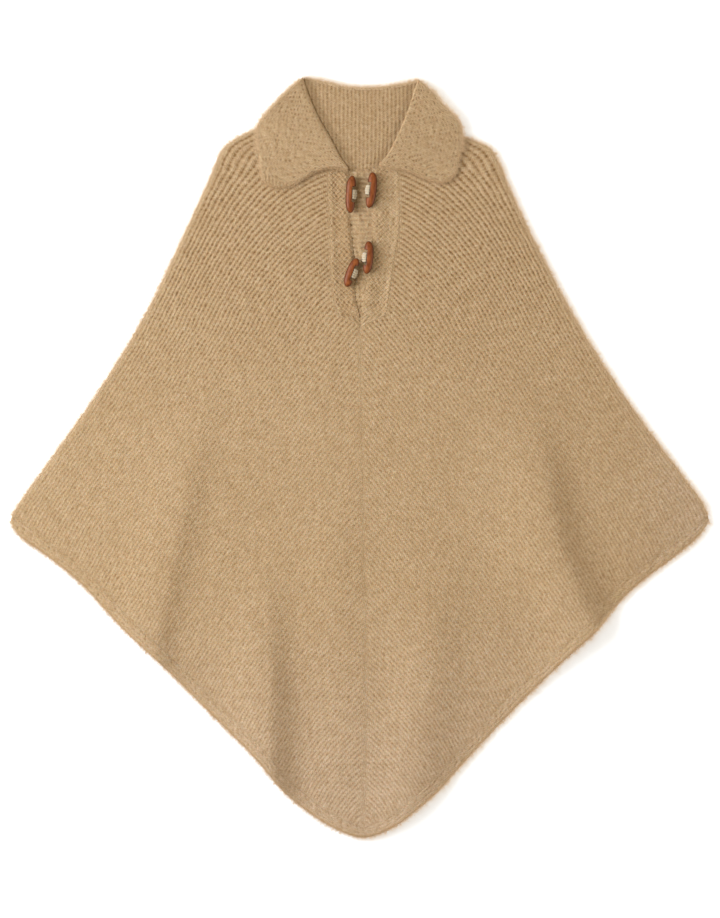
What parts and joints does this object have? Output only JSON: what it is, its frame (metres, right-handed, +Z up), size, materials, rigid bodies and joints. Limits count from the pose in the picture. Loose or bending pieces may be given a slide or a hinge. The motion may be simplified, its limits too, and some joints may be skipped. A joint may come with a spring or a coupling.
{
  "type": "knitted poncho sweater",
  "caption": "Chunky hand-knitted poncho sweater laid flat, with a mitred front, a ribbed fold-over collar, a toggle placket and a bordered hem.",
  "frame": {"origin": "on the surface that the garment lies on, under the middle of its bounding box", "axes": "+X to the viewer's right across the laid front, +Y from the hem point up to the collar, +Z up from the surface through back and front"},
  "size_m": [0.914, 0.9926, 0.0205],
  "materials": {
    "body_knit": "camel wool, mitred stocking stitch with one raised wale beside rows of small holes, matt with a soft halo of fibres",
    "collar_knit": "camel wool, fine purl-faced leaves and a ribbed inside, matt",
    "placket_knit": "camel wool, close ribbed bands over a garter-stitch underlap, matt",
    "toggle": "reddish-brown polished wood, semi-gloss, darker in the notch",
    "thread": "cream sewing yarn, matt"
  },
  "bodies": {
    "root": {"body_front": "body_knit", "body_back": "body_knit", "hem_front": "body_knit", "hem_back": "body_knit", "collar_stand": "collar_knit", "collar_fall": "collar_knit", "collar_leaf_left": "collar_knit", "collar_leaf_right": "collar_knit", "placket_band_left": "placket_knit", "placket_band_right": "placket_knit", "placket_underlap": "placket_knit", "toggle_upper_left": "toggle", "toggle_upper_right": "toggle", "toggle_lower_left": "toggle", "toggle_lower_right": "toggle", "thread_upper_left": "thread", "thread_upper_right": "thread", "thread_lower_left": "thread", "thread_lower_right": "thread"}
  },
  "joints": []
}
